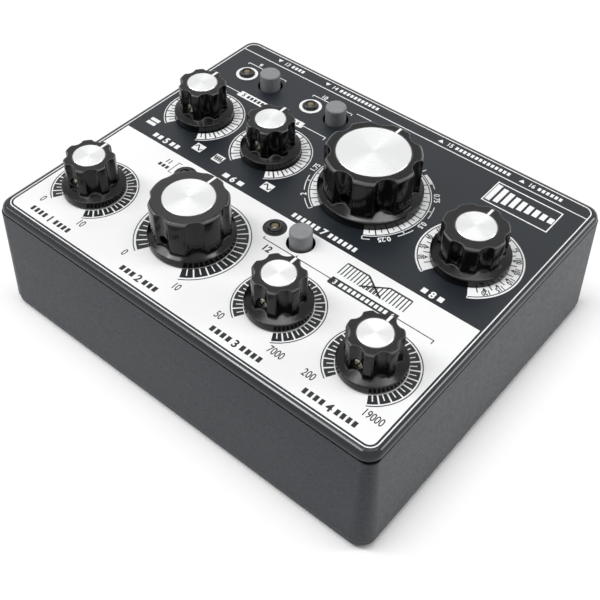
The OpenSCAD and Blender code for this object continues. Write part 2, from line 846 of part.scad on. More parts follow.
// Round bar at the grub screw's height, from one radius to another, opposite the pointer
module grub_bar(d, from, to) {
    translate([0, -from, grub_z])
        rotate([90, 0, 0])
            cylinder(d = d, h = to - from);
}

module inlay(size) {
    r = size[4] / 2;
    top = size[3] + inlay_proud;
    bevel = inlay_proud + inlay_t / 4;
    color("#d8dadc")
        rotate_extrude()
            polygon([[0, top - inlay_t], [r, top - inlay_t], [r, top - bevel], [r - bevel, top], [0, top]]);
}

// Brass bush and, as a second solid, the grub screw that clamps the shaft
module insert(size) {
    hole_r = shaft_d / 2 + shaft_fit;
    screw_end = insert_d / 2 + grub_proud;
    color("#b08d4a") {
        difference() {
            post(insert_d, recess_top, insert_top(size));
            post(2 * hole_r, recess_top - eps, shaft_top(size));
            grub_bar(grub_d + 2 * thread_gap, 0, insert_d);
        }
        difference() {
            grub_bar(grub_d, hole_r, screw_end);
            translate([0, -screw_end, grub_z])
                rotate([0, grub_slot_turn, 0])
                    cube([grub_slot_w, 2 * grub_slot_depth, 2 * grub_d], center = true);
        }
    }
}

// Buttons

module switch_bodies() {
    stem_w = plunger_w + 2 * plunger_gap;
    flange_w = plunger_flange_w + 2 * plunger_gap;
    cavity_h = plunger_flange_t + button_travel + plunger_clear;
    color("#26272a")
        for (item = BUTTONS)
            translate(item[1])
                difference() {
                    bar(switch_w, board_top, switch_top);
                    bar(flange_w, switch_roof - cavity_h, switch_roof);
                    bar(stem_w, switch_roof - eps, switch_top + eps);
                }
}

module plunger(place) {
    color("#e0e0dc")
        translate(place) {
            bar(plunger_w, switch_roof - plunger_flange_t, plunger_top);
            bar(plunger_flange_w, switch_roof - plunger_flange_t, switch_roof);
        }
}

module button(place) {
    r = button_d / 2;
    top = panel_z + button_h;
    color("#8a8a8d")
        translate(place)
            difference() {
                rotate_extrude()
                    polygon(concat(
                        [[0, button_foot], [r, button_foot]],
                        round_edge(r, top, button_edge_r),
                        [[0, top]]));
                bar(plunger_w + 2 * plunger_gap, button_foot - eps, plunger_top);
            }
}

// Lamps

module lamp_holders() {
    r = holder_d / 2;
    bore_r = lamp_d / 2 + lamp_gap;
    collar_r = collar_d / 2;
    flange_top = panel_z + holder_flange_t;
    top = panel_z + collar_h;
    barrel_r = holder_barrel_d / 2;
    foot = lid_z - holder_drop;
    color("#161617")
        for (p = lamps_at)
            translate(p)
                rotate_extrude()
                    polygon([[bore_r, foot], [barrel_r, foot], [barrel_r, panel_z], [r, panel_z],
                        [r, flange_top], [collar_r, flange_top], [collar_r, top - collar_bevel],
                        [collar_r - collar_bevel, top], [bore_r, top]]);
}

module lamps() {
    r = lamp_d / 2;
    foot = lid_z - holder_drop;
    lower = foot - lamp_foot_t;
    top = panel_z + lamp_h;
    dome_r = (r ^ 2 + lamp_dome ^ 2) / (2 * lamp_dome);
    dome_start = acos(r / dome_r);
    dome = [for (i = [0 : lamp_dome_steps])
        let (a = dome_start + (90 - dome_start) * i / lamp_dome_steps)
            [dome_r * cos(a), top - dome_r + dome_r * sin(a)]];
    color("#b9a878")
        for (p = lamps_at)
            translate(p) {
                post(lamp_foot_d, lower, foot);
                rotate_extrude()
                    polygon(concat([[0, lower], [r, lower]], dome));
                for (side = [-1, 1])
                    translate([side * lamp_leg_pitch / 2, 0, 0])
                        post(lamp_leg_d, board_top, lower);
            }
}

// Sockets

module jack(x) {
    color("#2b2c2f")
        difference() {
            union() {
                rearward(x, wall_y - jack_l)
                    translate([-jack_w / 2, -jack_h / 2, 0])
                        cube([jack_w, jack_h, jack_l]);
                rearward(x, wall_y)
                    post(jack_bush_d, 0, thread_end - wall_y);
                lugs(x, wall_y - jack_l);
            }
            rearward(x, thread_end - jack_bore_l)
                post(jack_bore_d, 0, jack_bore_l + eps);
        }
}

// Pair of solder lugs behind a socket
module lugs(x, y) {
    for (side = [-1, 1])
        translate([x + side * lug_offset - lug_w / 2, y - lug_l, socket_z - lug_t / 2])
            cube([lug_w, lug_l + lug_t, lug_t]);
}

module jack_nuts() {
    color("#c4c6c9")
        for (jack = JACKS)
            rearward(jack[1], spot_y)
                hex_nut(jack_nut_af, jack_bush_d + 2 * nut_gap, jack_nut_t);
}

module power_inlet() {
    color("#1f2022") {
        difference() {
            union() {
                rearward(inlet_x, wall_y - inlet_l)
                    post(inlet_d, 0, thread_end - wall_y + inlet_l);
                rearward(inlet_x, wall_y - inlet_shoulder_t)
                    post(inlet_shoulder_d, 0, inlet_shoulder_t);
                lugs(inlet_x, wall_y - inlet_l);
            }
            rearward(inlet_x, thread_end - inlet_bore_l)
                post(inlet_bore_d, 0, inlet_bore_l + eps);
        }
        rearward(inlet_x, thread_end - inlet_bore_l - lug_t)
            post(inlet_pin_d, 0, inlet_bore_l + lug_t - inlet_pin_back);
    }
}

module inlet_nut() {
    color("#2b2c2f")
        rearward(inlet_x, spot_y)
            hex_nut(inlet_nut_af, inlet_d + 2 * nut_gap, jack_nut_t);
}

// Wire from a lug, bending up to the board's lower face
module wire(x, y) {
    rise = board_bottom - socket_z - lug_t / 2 - wire_d / 2 - wire_bend_r;
    translate([x, y, socket_z + lug_t / 2 + wire_d / 2]) {
        rotate([90, 0, 0])
            cylinder(d = wire_d, h = lug_l);
        translate([0, -lug_l, wire_bend_r]) {
            rotate([0, 90, 0])
                rotate_extrude(angle = -90)
                    translate([wire_bend_r, 0])
                        circle(d = wire_d);
            translate([0, -wire_bend_r, 0])
                cylinder(d = wire_d, h = rise);
        }
    }
}

module wires() {
    color("#b23a32") {
        for (jack = JACKS, side = [-1, 1])
            wire(jack[1] + side * lug_offset, wall_y - jack_l);
        for (side = [-1, 1])
            wire(inlet_x + side * lug_offset, wall_y - inlet_l);
    }
}

// Drawing

lid();
body();
base();
feet();
case_screws();
circuit_board();
board_screws();
chips();
pot_bodies();
pot_washers();
pot_nuts();
switch_bodies();
lamp_holders();
lamps();
jack_nuts();
power_inlet();
inlet_nut();
wires();
for (item = JACKS)
    jack(item[1]);
for (control = CONTROLS) {
    on_panel = [each control[1], panel_z];
    translate(on_panel) knob(control[2]);
    translate(on_panel) inlay(control[2]);
    translate(on_panel) insert(control[2]);
    translate(control[1]) shaft(control[2]);
}
for (item = BUTTONS) {
    button(item[1]);
    plunger(item[1]);
}
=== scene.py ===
import json
import math
from collections import namedtuple

import bmesh
import bpy
from mathutils import Matrix, Vector

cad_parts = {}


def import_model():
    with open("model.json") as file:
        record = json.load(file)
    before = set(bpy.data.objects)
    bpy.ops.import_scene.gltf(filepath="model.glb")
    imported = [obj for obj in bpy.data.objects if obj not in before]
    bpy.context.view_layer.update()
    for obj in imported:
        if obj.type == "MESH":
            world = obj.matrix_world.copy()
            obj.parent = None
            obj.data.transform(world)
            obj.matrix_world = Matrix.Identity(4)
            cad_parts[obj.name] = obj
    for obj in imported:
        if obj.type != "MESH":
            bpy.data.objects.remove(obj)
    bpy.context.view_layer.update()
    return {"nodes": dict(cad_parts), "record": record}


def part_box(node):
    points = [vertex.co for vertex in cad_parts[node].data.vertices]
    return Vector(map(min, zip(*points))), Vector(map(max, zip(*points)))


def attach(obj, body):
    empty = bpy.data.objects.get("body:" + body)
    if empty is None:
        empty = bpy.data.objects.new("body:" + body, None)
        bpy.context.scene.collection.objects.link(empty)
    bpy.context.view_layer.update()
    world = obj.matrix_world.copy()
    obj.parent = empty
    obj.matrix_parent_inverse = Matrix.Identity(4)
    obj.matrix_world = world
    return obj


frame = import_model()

# Desktop echo effects unit. Lengths are in millimetres and angles in degrees, anticlockwise from +X,
# where a comment doesn't give another unit. MM turns them into metres, the unit of the scene.
MM = 0.001
NODES = frame["nodes"]
CONTROLS = ("feedback", "volume", "high_pass", "low_pass", "depth", "rate", "beat", "tempo")
BUTTONS = ("loop", "step", "mute")
# Controls that stand on the white front half of the panel
ON_WHITE = ("feedback", "high_pass", "low_pass", "volume")


def centre(node):
    """Middle of a node's box, seen from above."""
    low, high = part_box(node)
    return ((low[0] + high[0]) / 2 / MM, (low[1] + high[1]) / 2 / MM)


PANEL_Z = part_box("lid")[1][2] / MM
# Thickness of the lid, height of the groove between it and the body, and the groove's lower edge
LID_T, GROOVE_H = 2.5, 0.7
GROOVE_Z = PANEL_Z - LID_T - GROOVE_H
PLACE = {name: centre(name + "_inlay") for name in CONTROLS}
PLACE.update({name: centre(name + "_button") for name in BUTTONS})

# Lamps, each to the left of its button; the clip lamp has none
REAR_LAMP_OFFSET, MUTE_LAMP_OFFSET, CLIP_LAMP_X = 10.8, 10, -36.9
REAR_LAMPS = [(PLACE[name][0] - REAR_LAMP_OFFSET, PLACE[name][1]) for name in ("loop", "step")]
MUTE_LAMP = (PLACE["mute"][0] - MUTE_LAMP_OFFSET, PLACE["mute"][1])
CLIP_LAMP = (CLIP_LAMP_X, PLACE["mute"][1])


# Node trees

# Samples of the node that rounds edges off
EDGE_SAMPLES = 6
# Places of the colour sockets in a Mix node
MIX_FACTOR, MIX_FIRST, MIX_SECOND, MIX_RESULT = 0, 6, 7, 2


def grey(tone):
    return (tone, tone, tone)


class Nodes:
    """A node tree, with helpers that add a node and give its result."""

    def __init__(self, tree):
        self.tree = tree

    def node(self, kind, **inputs):
        made = self.tree.nodes.new(kind)
        for socket, value in inputs.items():
            self.feed(made.inputs[socket.replace("_", " ")], value)
        return made

    def feed(self, socket, value):
        """Links a result to a socket, or sets the socket to a number, a vector or an opaque colour."""
        if isinstance(value, bpy.types.NodeSocket):
            self.tree.links.new(value, socket)
        elif socket.type == "RGBA":
            socket.default_value = (*value, 1)
        else:
            socket.default_value = value

    def coordinates(self, kind):
        return self.node("ShaderNodeTexCoord").outputs[kind]

    def upright(self, vector):
        """Z part of a vector."""
        return self.node("ShaderNodeSeparateXYZ", Vector=vector).outputs["Z"]

    def maths(self, operation, first, second=0.0):
        made = self.node("ShaderNodeMath")
        made.operation = operation
        self.feed(made.inputs[0], first)
        self.feed(made.inputs[1], second)
        return made.outputs[0]

    def vector(self, operation, first, second=(0, 0, 0)):
        made = self.node("ShaderNodeVectorMath")
        made.operation = operation
        self.feed(made.inputs[0], first)
        self.feed(made.inputs[1], second)
        return made.outputs["Value" if operation in ("LENGTH", "DISTANCE") else "Vector"]

    def remap(self, source, low, high, source_low=0.3, source_high=0.7):
        """Takes a range of the source, by default that of noise, to another range and stays inside it."""
        made = self.node("ShaderNodeMapRange", Value=source, From_Min=source_low, From_Max=source_high,
                         To_Min=low, To_Max=high)
        return made.outputs["Result"]

    def mix(self, factor, first, second):
        """Colour between two others."""
        made = self.node("ShaderNodeMix")
        made.data_type = "RGBA"
        self.feed(made.inputs[MIX_FACTOR], factor)
        self.feed(made.inputs[MIX_FIRST], first)
        self.feed(made.inputs[MIX_SECOND], second)
        return made.outputs[MIX_RESULT]


class Finish(Nodes):
    """A Principled material, with helpers for the procedural detail that feeds its sockets."""

    def __init__(self, name, colour, roughness, **sockets):
        self.material = bpy.data.materials.new(name)
        self.material.use_nodes = True
        super().__init__(self.material.node_tree)
        self.shader = self.tree.nodes["Principled BSDF"]
        self.where = self.coordinates("Object")
        self.set("Base Color", colour)
        self.set("Roughness", roughness)
        for socket, value in sockets.items():
            self.set(socket.replace("_", " "), value)

    def set(self, socket, value):
        self.feed(self.shader.inputs[socket], value)

    def noise(self, size, detail=3.0):
        """Noise with blotches of about this size, from 0 to 1."""
        made = self.node("ShaderNodeTexNoise", Vector=self.where, Scale=1 / (size * MM), Detail=detail)
        return made.outputs["Fac"]

    def mottle(self, size, first, second, detail=3.0):
        """Colour that wanders between two others, in blotches of about this size."""
        return self.mix(self.remap(self.noise(size, detail), 0, 1), first, second)

    def vary_colour(self, size, first, second):
        self.set("Base Color", self.mottle(size, first, second))

    def vary_roughness(self, size, low, high):
        self.set("Roughness", self.remap(self.noise(size), low, high))

    def soft_normal(self, radius):
        """Normal of the surface, as if sharp edges were rounded by this radius."""
        made = self.node("ShaderNodeBevel", Radius=radius * MM)
        made.samples = EDGE_SAMPLES
        return made.outputs["Normal"]

    def relief(self, height, depth, strength, edge=0.0):
        """Bump of this depth from a height; with an edge radius, sharp edges catch light like round ones."""
        made = self.node("ShaderNodeBump", Height=height, Distance=depth * MM, Strength=strength)
        if edge:
            self.feed(made.inputs["Normal"], self.soft_normal(edge))
        self.set("Normal", made.outputs["Normal"])


# Materials

COAT_EDGE = 0.3
PANEL_GRAIN, CASE_GRAIN = 0.4, 0.45
CASE_ROUGH, CASE_ROUGH_SPREAD = 0.36, 0.05
# Colour of the painted shade inside the groove below the lid
GROOVE_SHADE_BLACK = (0.003, 0.003, 0.004)
# Painted shade in the groove, above its lower edge: where the black begins, where it is full, and how far
# this wanders
GROOVE_FROM, GROOVE_TO, GROOVE_RAGGED = 0.1, 0.25, 0.5


def coat(name, dark, light, rough, depth, grain, specular):
    """Sprayed and baked coat with a fine, even grain: its finish and its colour."""
    finish = Finish(name, dark, rough, Specular_IOR_Level=specular)
    finish.relief(finish.noise(grain), depth, strength=0.6, edge=COAT_EDGE)
    return finish, finish.mottle(grain, dark, light)


def panel_coat(name, dark, light):
    """Smooth satin coat, rubbed glossy along the rounded edge of the lid."""
    finish, colour = coat(name, dark, light, rough=0.42, depth=0.004, grain=PANEL_GRAIN, specular=0.46)
    finish.set("Base Color", colour)
    up = finish.upright(finish.coordinates("Normal"))
    finish.set("Roughness", finish.remap(up, 0.1, 0.42, source_low=0.96, source_high=0.995))
    return finish.material


def case_coat(name, dark, light):
    """Coarser coat of the body; painted shade makes it black, with a ragged edge, inside the groove below
    the lid.
    """
    finish, colour = coat(name, dark, light, CASE_ROUGH, depth=0.055, grain=CASE_GRAIN, specular=0.26)
    finish.vary_roughness(3 * CASE_GRAIN, CASE_ROUGH - CASE_ROUGH_SPREAD, CASE_ROUGH + CASE_ROUGH_SPREAD)
    # Painted shade: the body turns black in the groove below the lid, with a ragged lower edge
    ragged = finish.maths("MULTIPLY", finish.noise(size=1.2), GROOVE_RAGGED * MM)
    height = finish.maths("ADD", finish.upright(finish.where), ragged)
    inside = finish.remap(height, 0, 1, (GROOVE_Z + GROOVE_FROM) * MM, (GROOVE_Z + GROOVE_TO) * MM)
    finish.set("Base Color", finish.mix(inside, colour, GROOVE_SHADE_BLACK))
    return finish.material


def moulded(name, dark, light, rough, grain=0.8, depth=0.01, **sockets):
    """Moulded plastic or rubber: slight flow marks, and a skin that is not quite even."""
    finish = Finish(name, dark, rough, **sockets)
    finish.vary_colour(8 * grain, dark, light)
    finish.vary_roughness(3 * grain, 0.75 * rough, 1.3 * rough)
    finish.relief(finish.noise(grain, detail=2.0), depth, strength=0.5, edge=0.2)
    return finish.material


KNOB_BLACK, KNOB_DEEP_BLACK = (0.004, 0.004, 0.0048), (0.002, 0.002, 0.0023)
# Pale tone of the painted highlight on the knobs' upper edges
KNOB_PAINTED_HIGHLIGHT = (0.12, 0.12, 0.125)
# Height over which the painted highlight on a knob's upper edges sets in
HIGHLIGHT_RISE = 1


def polished(name, top_tone, edge, shoulder):
    """Black moulding with polished sides and a matt top; edges above the shoulder get a painted highlight, a
    pale tone in the base colour.
    """
    finish = Finish(name, KNOB_BLACK, 0.1, Specular_IOR_Level=0.27)
    up = finish.upright(finish.soft_normal(edge))
    top = finish.remap(up, 0, 1, source_low=0.95, source_high=0.995)
    plain = finish.mix(top, finish.mottle(6.0, KNOB_DEEP_BLACK, KNOB_BLACK), grey(top_tone))
    # Painted highlight: a pale band on the upper edges, above the shoulder
    steep_end = finish.remap(up, 0, 1, source_low=0.25, source_high=0.5)
    flat_end = finish.remap(up, 1, 0, source_low=0.84, source_high=0.93)
    above = finish.remap(finish.upright(finish.where), 0, 1, shoulder * MM, (shoulder + HIGHLIGHT_RISE) * MM)
    painted_highlight = finish.maths("MULTIPLY", finish.maths("MULTIPLY", steep_end, flat_end), above)
    finish.set("Base Color", finish.mix(painted_highlight, plain, KNOB_PAINTED_HIGHLIGHT))
    matt = finish.remap(up, 0.09, 0.4, source_low=0.93, source_high=0.995)
    smear = finish.remap(finish.noise(size=2.5), 0.0, 0.06)
    finish.set("Roughness", finish.maths("ADD", matt, smear))
    finish.relief(finish.noise(size=0.25, detail=2.0), depth=0.004, strength=0.4, edge=edge)
    return finish.material


def machined(name, dark, light, rough, metallic=1.0):
    """Metal with fine machining marks and slight tarnish."""
    finish = Finish(name, light, rough, Metallic=metallic)
    finish.vary_colour(3.0, dark, light)
    finish.vary_roughness(1.0, 0.7 * rough, 1.4 * rough)
    finish.relief(finish.noise(size=0.5, detail=4.0), depth=0.006, strength=0.6, edge=0.1)
    return finish.material


SPUN_DARK, SPUN_LIGHT = (0.82, 0.825, 0.83), (0.87, 0.875, 0.88)
SPUN_RINGS_PER_METRE = 9000


def spun(name, middle):
    """Aluminium faced on a lathe: rings about the middle, so the light fans out in sectors."""
    finish = Finish(name, SPUN_LIGHT, 0.3, Metallic=1.0, Anisotropic=0.9)
    arm = finish.vector("SUBTRACT", finish.where, (middle[0] * MM, middle[1] * MM, 0))
    flat = finish.vector("MULTIPLY", arm, (1, 1, 0))
    turned = finish.node("ShaderNodeVectorTransform", Vector=flat)
    turned.vector_type = "VECTOR"
    turned.convert_from = "OBJECT"
    turned.convert_to = "WORLD"
    finish.set("Tangent", turned.outputs[0])
    rings = finish.node("ShaderNodeTexNoise", Scale=1.0, Detail=3.0)
    rings.noise_dimensions = "1D"
    ring = finish.maths("MULTIPLY", finish.vector("LENGTH", flat), SPUN_RINGS_PER_METRE)
    finish.feed(rings.inputs["W"], ring)
    finish.set("Roughness", finish.remap(rings.outputs["Fac"], 0.24, 0.36))
    finish.set("Base Color", finish.mix(finish.remap(rings.outputs["Fac"], 0, 1), SPUN_DARK, SPUN_LIGHT))
    return finish.material


def printed(name, colour, thick):
    """Screen-printed ink: even, slightly mottled, glossier in places."""
    finish = Finish(name, colour, 0.4, Specular_IOR_Level=0.35)
    finish.vary_colour(0.4, colour, thick)
    finish.vary_roughness(2.5, 0.34, 0.5)
    finish.relief(finish.noise(size=0.3, detail=2.0), depth=0.004, strength=0.4)
    return finish.material


# The clip lamp's colour is painted shade: dark all over, without the amber middle
LENS_SMOKE, CLIP_PAINTED_SHADE = (0.012, 0.01, 0.008), (0.012, 0.009, 0.008)
AMBER_DARK, AMBER_LIGHT = (0.14, 0.1, 0.045), (0.22, 0.165, 0.08)
# Depths below the lamps' tops at which the amber begins, and from which up it is full
AMBER_FROM, AMBER_FULL = 0.33, 0.08
# Distances from the clip lamp between which its painted shade gives way to the others' resin
CLIP_REACH = (9, 10)


def tinted_resin(name):
    """Unlit lamps: smoky resin, amber in the middle of the dome; the clip lamp is dark all over, as painted
    shade.
    """
    finish = Finish(name, LENS_SMOKE, 0.15)
    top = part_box("lamps")[1][2]
    middle = finish.remap(finish.upright(finish.where), 0, 1, top - AMBER_FROM * MM, top - AMBER_FULL * MM)
    amber = finish.mottle(0.5, AMBER_DARK, AMBER_LIGHT, detail=2.0)
    lens = finish.mix(middle, LENS_SMOKE, amber)
    # Painted shade: the clip lamp stays dark
    away = finish.vector("DISTANCE", finish.where, (CLIP_LAMP[0] * MM, CLIP_LAMP[1] * MM, top))
    elsewhere = finish.remap(away, 0, 1, *(reach * MM for reach in CLIP_REACH))
    finish.set("Base Color", finish.mix(elsewhere, CLIP_PAINTED_SHADE, lens))
    finish.vary_roughness(0.6, 0.1, 0.25)
    return finish.material


# Width of a thread of the board's glass cloth
WEAVE = 0.6


def laminate(name, dark, light):
    """Circuit board: green mask over a faint weave."""
    finish = Finish(name, dark, 0.35)
    finish.vary_colour(1.2, dark, light)
    weave = finish.node("ShaderNodeTexChecker", Vector=finish.where, Scale=1 / (WEAVE * MM))
    finish.relief(weave.outputs["Fac"], depth=0.01, strength=0.3)
    finish.vary_roughness(4.0, 0.3, 0.45)
    return finish.material


PAINT = {
    "panel": panel_coat("panel_coat", (0.003, 0.006, 0.01), (0.007, 0.011, 0.016)),
    "case": case_coat("case_coat", (0.003, 0.006, 0.0105), (0.028, 0.036, 0.047)),
    "rubber": moulded("foot_rubber", grey(0.012), grey(0.025), 0.75, grain=0.4, depth=0.03),
    "dark_steel": machined("blackened_steel", (0.02, 0.02, 0.022), (0.06, 0.06, 0.065), 0.4),
    "steel": machined("satin_steel", (0.38, 0.39, 0.41), (0.55, 0.56, 0.58), 0.35),
    "plated": machined("bright_plating", (0.6, 0.61, 0.63), (0.75, 0.76, 0.78), 0.2),
    "board": laminate("board_mask", (0.015, 0.08, 0.04), (0.03, 0.14, 0.07)),
    "chip": moulded("chip_resin", grey(0.012), grey(0.03), 0.55),
    "black_plastic": moulded("black_moulding", (0.012, 0.012, 0.013), (0.022, 0.022, 0.024), 0.45),
    "black_gloss": moulded("holder_black", (0.01, 0.01, 0.011), (0.018, 0.018, 0.019), 0.25),
    "lamp": tinted_resin("lamp_resin"),
    "wire": moulded("wire_red", (0.3, 0.02, 0.015), (0.42, 0.04, 0.03), 0.45),
    "brass": machined("turned_brass", (0.78, 0.73, 0.55), (0.92, 0.89, 0.76), 0.24, metallic=0.85),
    "shaft": machined("turned_aluminium", (0.55, 0.56, 0.57), (0.7, 0.71, 0.72), 0.3),
    "button": moulded("button_grey", (0.225, 0.23, 0.24), (0.26, 0.265, 0.275), 0.5, grain=0.3,
                      Specular_IOR_Level=0.35),
    "plunger": moulded("plunger_white", (0.65, 0.65, 0.62), (0.75, 0.75, 0.72), 0.5),
}
WHITE = printed("ink_white", (0.91, 0.912, 0.915), (0.94, 0.942, 0.945))
DARK = printed("ink_dark", (0.014, 0.016, 0.018), (0.02, 0.022, 0.025))

# How far the knobs' edges are rubbed round, and the tone of their matt tops
KNOB_EDGE = dict.fromkeys(CONTROLS, 0.7)
KNOB_EDGE.update(beat=0.8, tempo=0.8, volume=0.6)
KNOB_TOP = dict.fromkeys(CONTROLS, 0.012)
KNOB_TOP.update(beat=0.003, volume=0.03)


def knob_black(node):
    """Finish of a knob, whose shoulder is halfway up."""
    control = node.removesuffix("_knob")
    low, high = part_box(node)
    shoulder = (low[2] + high[2]) / 2 / MM
    return polished("black_" + node, KNOB_TOP[control], KNOB_EDGE[control], shoulder)


def dress():
    """Gives every CAD node the finish of its material slot; knobs and inlays have one each."""
    for part in frame["record"]["subparts"]:
        node, slot = part["node"], part["material_slot"]
        if slot == "inlay":
            paint = spun("spun_" + node, centre(node))
        elif slot == "knob":
            paint = knob_black(node)
        else:
            paint = PAINT[slot]
        for held in NODES[node].material_slots:
            held.material = paint


# Outlines on the panel: each is a closed loop of points

# Most that an arc turns between two points
ARC_STEP = 2.5
# Gap between the blocks of a row, as a share of their height
ROW_GAP = 0.35


def polar(at, r, angle):
    turn = math.radians(angle)
    return (at[0] + r * math.cos(turn), at[1] + r * math.sin(turn))


def arc(at, r, start, end):
    count = max(2, math.ceil(abs(end - start) / ARC_STEP))
    return [polar(at, r, start + (end - start) * i / count) for i in range(count + 1)]


def sector(at, r0, r1, start, end):
    return arc(at, r1, start, end) + arc(at, r0, end, start)


def circle(at, r):
    return arc(at, r, 0, 360)[:-1]


def rectangle(x0, y0, x1, y1):
    return [(x0, y0), (x1, y0), (x1, y1), (x0, y1)]


def rounded(x0, y0, x1, y1, r):
    corners = rectangle(x0 + r, y0 + r, x1 - r, y1 - r)
    loop = []
    for i, corner in enumerate(corners):
        loop += arc(corner, r, 180 + 90 * i, 270 + 90 * i)
    return loop


def stroke(start, end, w):
    """Straight line of this width."""
    x, y = end[0] - start[0], end[1] - start[1]
    size = math.hypot(x, y)
    off = (-y / size * w / 2, x / size * w / 2)
    return [(p[0] + side * off[0], p[1] + side * off[1])
            for p, side in ((start, -1), (end, -1), (end, 1), (start, 1))]


def spoke(at, r0, r1, angle, w):
    return stroke(polar(at, r0, angle), polar(at, r1, angle), w)


def row(x0, x1, y, h):
    """Row of upright blocks from one place to another."""
    x0, x1 = min(x0, x1), max(x0, x1)
    gap = ROW_GAP * h
    count = max(1, round((x1 - x0 + gap) / h))
    w = (x1 - x0 + gap) / count - gap
    starts = [x0 + i * (w + gap) for i in range(count)]
    return [rectangle(x, y - h / 2, x + w, y + h / 2) for x in starts]


# Ink: thin closed layers that lie on the lid or on each other

INK = 0.03
FIELD, MARK, OVER = 0, 1, 2
# Points of ink closer than this, in metres, are one
SAME_POINT = 1e-7


def layer(level):
    """Lower and upper height of a layer of ink; the first one bites into the lid a little."""
    low = PANEL_Z + level * INK
    return (low - INK / 2 if level == FIELD else low, low + INK)


def piece(name, bm, material, body):
    """Object made of this mesh, with its normals turned outwards."""
    bmesh.ops.recalc_face_normals(bm, faces=bm.faces)
    mesh = bpy.data.meshes.new(name)
    bm.to_mesh(mesh)
    bm.free()
    mesh.materials.append(material)
    made = bpy.data.objects.new(name, mesh)
    bpy.context.scene.collection.objects.link(made)
    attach(made, body)


def add_prism(bm, loop, low, high):
    """Upright prism over a loop of points."""
    foot = [bm.verts.new((x * MM, y * MM, low * MM)) for x, y in loop]
    head = [bm.verts.new((x * MM, y * MM, high * MM)) for x, y in loop]
    bm.faces.new(foot[::-1])
    bm.faces.new(head)
    for i in range(len(loop)):
        bm.faces.new((foot[i - 1], foot[i], head[i], head[i - 1]))


def add_filled(bm, curve, place, low, high):
    """Solid letters, or outlines with holes, from a flat filled curve."""
    curve.dimensions = "2D"
    curve.fill_mode = "BOTH"
    curve.extrude = (high - low) / 2 * MM
    holder = bpy.data.objects.new(curve.name, curve)
    mesh = bpy.data.meshes.new_from_object(holder)
    mesh.transform(Matrix.Translation((0, 0, (high + low) / 2 * MM)) @ place(mesh))
    bm.from_mesh(mesh)
    bpy.data.objects.remove(holder)
    bpy.data.curves.remove(curve)
    bpy.data.meshes.remove(mesh)


def outlines(loops):
    """Flat curve of closed loops; a loop inside another is a hole."""
    curve = bpy.data.curves.new("outline", "CURVE")
    for loop in loops:
        spline = curve.splines.new("POLY")
        spline.points.add(len(loop) - 1)
        for point, (x, y) in zip(spline.points, loop):
            point.co = (x * MM, y * MM, 0, 1)
        spline.use_cyclic_u = True
    return curve


class Print:
    """One piece of ink: prisms, filled outlines and numbers in one colour on one layer."""

    def __init__(self, level):
        self.low, self.high = layer(level)
        self.bm = bmesh.new()

    def loops(self, *loops):
        for loop in loops:
            add_prism(self.bm, loop, self.low, self.high)

    def holed(self, *loops):
        add_filled(self.bm, outlines(loops), lambda mesh: Matrix.Identity(4), self.low, self.high)

    def number(self, body, at, height, turn=0, wide=0.9, bold=0.03):
        """Number of this height with its middle at a point."""
        text = bpy.data.curves.new("number", "FONT")
        text.body = body
        text.size = 1
        text.offset = bold

        def place(mesh):
            xs = [v.co.x for v in mesh.vertices]
            ys = [v.co.y for v in mesh.vertices]
            grow = height * MM / (max(ys) - min(ys))
            middle = Matrix.Translation((-(max(xs) + min(xs)) / 2, -(max(ys) + min(ys)) / 2, 0))
            size = Matrix.Diagonal((grow * wide, grow, 1, 1))
            spin = Matrix.Rotation(math.radians(turn), 4, "Z")
            return Matrix.Translation((at[0] * MM, at[1] * MM, 0)) @ spin @ size @ middle

        add_filled(self.bm, text, place, self.low, self.high)

    def done(self, name, material):
        bmesh.ops.remove_doubles(self.bm, verts=self.bm.verts, dist=SAME_POINT)
        piece(name, self.bm, material, "case")


# Panel print: border, white field and rings

BORDER_X, BORDER_Y, BORDER_R = 69.6, 56.65, 3.2
BORDER_W, BORDER_GAP = 0.36, 0.62
# Front edge of the dark half, and the line that cuts off its rear strip
SPLIT_Y, STRIP_Y, STRIP_W = -6.6, 51.8, 0.35
# The border and the white field lie a little to the right of the lid's middle
SHIFT = 0.21
# Openings in the print round the mute button, the control bushes and the lamps, and the lamps' rings
BUTTON_HOLE_R, BUSH_HOLE_R, LAMP_HOLE_R = 4.38, 5.6, 2.5
REAR_RING_R, FRONT_RING_R = 3.85, 3.7


def inset_frame(inset):
    """Rounded rectangle this far inside the border's outer edge."""
    x, y = BORDER_X - inset, BORDER_Y - inset
    return rounded(SHIFT - x, -y, SHIFT + x, y, BORDER_R - inset)


def border():
    ink = Print(FIELD)
    ink.holed(inset_frame(0), inset_frame(BORDER_W))
    ink.done("panel_border", WHITE)
    strip = Print(FIELD)
    half = BORDER_X - BORDER_W
    strip.loops(stroke((SHIFT - half, STRIP_Y), (SHIFT + half, STRIP_Y), STRIP_W))
    strip.done("panel_strip_line", WHITE)


def white_field():
    """White front half, open round the mute button, the front lamps and the control bushes."""
    inset = BORDER_W + BORDER_GAP
    x, y, r = BORDER_X - inset, BORDER_Y - inset, BORDER_R - inset
    outline = arc((SHIFT - x + r, -y + r), r, 180, 270) + arc((SHIFT + x - r, -y + r), r, 270, 360)
    outline += [(SHIFT + x, SPLIT_Y), (SHIFT - x, SPLIT_Y)]
    holes = [circle(PLACE["mute"], BUTTON_HOLE_R)]
    holes += [circle(lamp, LAMP_HOLE_R) for lamp in (MUTE_LAMP, CLIP_LAMP)]
    holes += [circle(PLACE[name], BUSH_HOLE_R) for name in ON_WHITE]
    ink = Print(FIELD)
    ink.holed(outline, *holes)
    ink.done("panel_white_field", WHITE)


def lamp_rings(name, level, lamps, r, material):
    ink = Print(level)
    for lamp in lamps:
        ink.holed(circle(lamp, r), circle(lamp, LAMP_HOLE_R))
    ink.done(name, material)


# Dials

SWEEP = (-60, 240)
